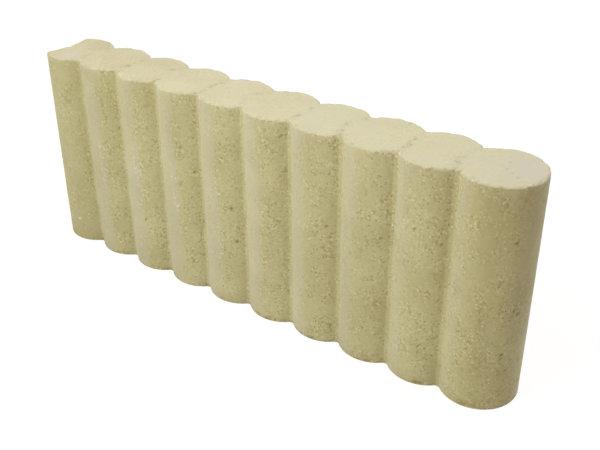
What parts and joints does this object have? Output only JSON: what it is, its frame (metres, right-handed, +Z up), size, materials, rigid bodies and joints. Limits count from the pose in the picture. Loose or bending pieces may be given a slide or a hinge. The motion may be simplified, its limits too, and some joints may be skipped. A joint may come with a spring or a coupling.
{
  "type": "garden border edging block",
  "caption": "Cast concrete border edging block with a scalloped row of round columns; a round end and a hollow end nest with the neighbouring blocks.",
  "frame": {"origin": "on the ground, in the middle of the length that the block covers when it is laid, half way between its first and last column", "axes": "+X along the border towards the round end, +Z up, -Y the front"},
  "size_m": [0.5066, 0.067, 0.2],
  "materials": {
    "cast_concrete": "matte buff concrete with a fine sandy grain and small pits"
  },
  "bodies": {
    "root": {"edging_block": "cast_concrete"}
  },
  "joints": []
}
